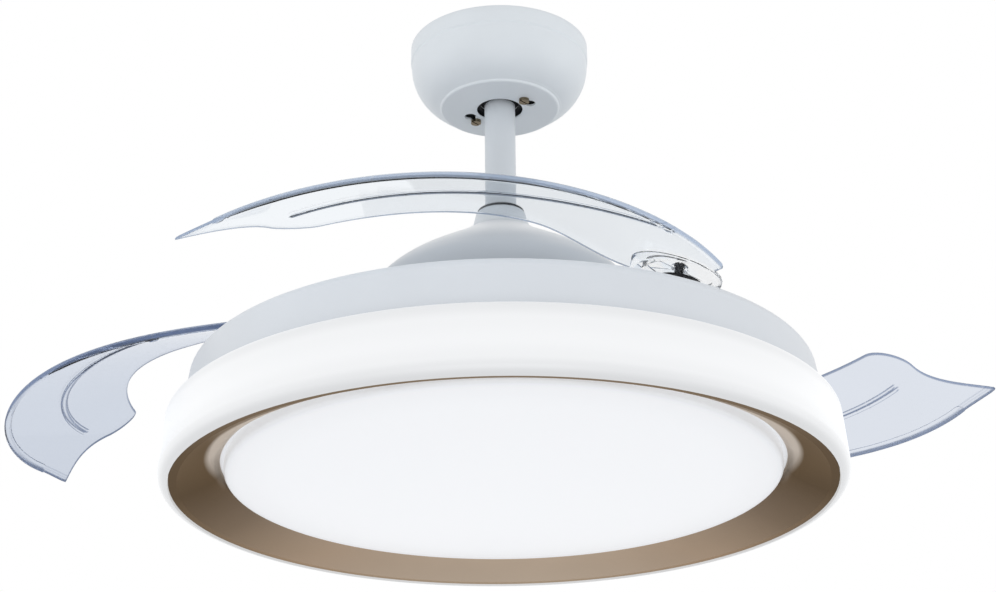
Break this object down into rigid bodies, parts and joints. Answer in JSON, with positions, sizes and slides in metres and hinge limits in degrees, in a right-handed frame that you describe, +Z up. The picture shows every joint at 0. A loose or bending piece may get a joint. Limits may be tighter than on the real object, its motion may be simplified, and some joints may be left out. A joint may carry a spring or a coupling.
{
  "type": "retractable blade ceiling fan",
  "caption": "Ceiling fan with a white canopy and rod, clear folding blades on leaning pivots and a wide round lamp with a champagne bezel below.",
  "frame": {"origin": "centre of the ceiling bracket's upper face, in the ceiling plane", "axes": "+Z up out of the ceiling face; +X to the right and +Y away from a viewer who sees the fan as pictured"},
  "size_m": [0.7832, 0.5309, 0.3715],
  "materials": {
    "canopy_white": "satin",
    "rod_grey": "satin",
    "drum_white": "satin",
    "zinc_steel": "satin",
    "steel": "satin",
    "champagne_metal": "satin",
    "opal_plastic": "satin",
    "clear_blade": "gloss",
    "black_steel": "satin",
    "black_plastic": "matte",
    "rubber": "matte",
    "copper_wire": "satin",
    "bush_plastic": "matte",
    "magnet": "matte",
    "core_steel": "matte",
    "aluminium_plate": "satin",
    "driver_case": "matte"
  },
  "bodies": {
    "ceiling": {"ceiling_bracket": "zinc_steel", "receiver_box": "black_plastic", "canopy": "canopy_white", "canopy_screws": "zinc_steel"},
    "hanging": {"hanger_ball": "black_plastic", "cross_pin": "steel", "downrod": "rod_grey", "rod_collar": "rubber", "coupling_cover": "rod_grey", "yoke": "steel", "yoke_bolt": "zinc_steel", "shaft_set_screw": "black_steel", "motor_cover": "rod_grey", "cover_screws": "zinc_steel", "motor_shaft": "steel", "stator_core": "core_steel", "stator_coils": "copper_wire", "shaft_collar": "steel", "lamp_bracket": "zinc_steel", "shaft_nut": "zinc_steel", "pan_screws": "zinc_steel", "lamp_pan": "drum_white", "lamp_chassis": "zinc_steel", "chassis_screws": "zinc_steel", "led_driver": "driver_case", "led_plate": "aluminium_plate", "led_lenses": "opal_plastic", "ring_led_strip": "opal_plastic", "ring_diffuser": "opal_plastic", "bezel": "champagne_metal", "bezel_clips": "zinc_steel", "main_diffuser": "opal_plastic"},
    "rotor": {"rotor_top": "steel", "rotor_bottom": "steel", "magnet_ring": "magnet", "upper_bearing": "steel", "lower_bearing": "steel", "rotor_screws": "zinc_steel", "blade_carrier": "black_steel", "seat_screws": "zinc_steel", "pivot_seats": "black_steel", "pivot_bushes": "bush_plastic", "stop_pins": "black_steel", "return_springs": "steel"},
    "blade_a": {"blade_1": "clear_blade", "post_1": "black_steel", "stop_arm_1": "zinc_steel"},
    "blade_b": {"blade_2": "clear_blade", "post_2": "black_steel", "stop_arm_2": "zinc_steel"},
    "blade_c": {"blade_3": "clear_blade", "post_3": "black_steel", "stop_arm_3": "zinc_steel"}
  },
  "joints": [
    {"name": "ball_tilt", "type": "hinge", "parent": "ceiling", "child": "hanging", "pos_m": [0, 0, -0.03432], "axis": [1, 0, 0], "range_deg": [-8, 8]},
    {"name": "rotor_spin", "type": "hinge", "parent": "hanging", "child": "rotor", "pos_m": [0, 0, -0.224], "axis": [0, 0, 1], "continuous": true},
    {"name": "blade_fold_a", "type": "hinge", "parent": "rotor", "child": "blade_a", "pos_m": [0.12342, -0.13006, -0.2498], "axis": [0.1877, 0.0119, 0.9822], "range_deg": [-19.8, 90.2]},
    {"name": "blade_fold_b", "type": "hinge", "parent": "rotor", "child": "blade_b", "pos_m": [0.05092, 0.17192, -0.2498], "axis": [-0.1042, 0.1566, 0.9822], "range_deg": [-59.9, 50.1]},
    {"name": "blade_fold_c", "type": "hinge", "parent": "rotor", "child": "blade_c", "pos_m": [-0.17435, -0.04186, -0.2498], "axis": [-0.0836, -0.1685, 0.9822], "range_deg": [-79.4, 30.6]}
  ]
}
